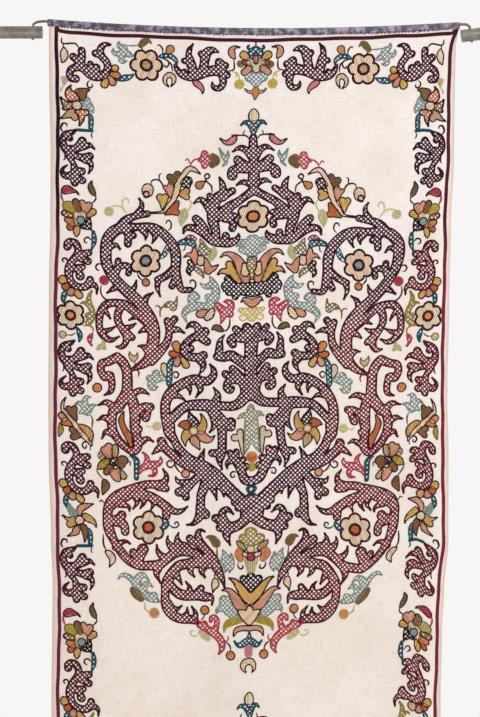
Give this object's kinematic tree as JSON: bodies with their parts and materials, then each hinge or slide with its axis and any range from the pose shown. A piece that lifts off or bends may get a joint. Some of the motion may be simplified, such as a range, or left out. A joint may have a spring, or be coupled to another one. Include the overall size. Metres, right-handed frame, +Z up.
{
  "type": "embroidered linen wall hanging on a bent wire rod between two bars",
  "caption": "Long narrow linen wall hanging with dense silk embroidery, its heading tape threaded on a sagging bent wire whose ends drop into two short grey bars.",
  "frame": {"origin": "midway between the inner ends of the two bars, at the height of the left bar's axis", "axes": "+Z up along the cloth's length, +X to the right seen from the front, and the front of the cloth faces -Y"},
  "size_m": [0.7341, 0.0146, 1.5152],
  "materials": {
    "linen": "woven linen, silk embroidered",
    "heading_tape": "matt woven tape",
    "brass_wire": "dulled",
    "grey_metal": "satin, darkened"
  },
  "bodies": {
    "root": {"linen_panel": "linen", "heading_sleeve": "heading_tape", "hanging_wire": "brass_wire", "bar_left": "grey_metal", "bar_right": "grey_metal"}
  },
  "joints": []
}
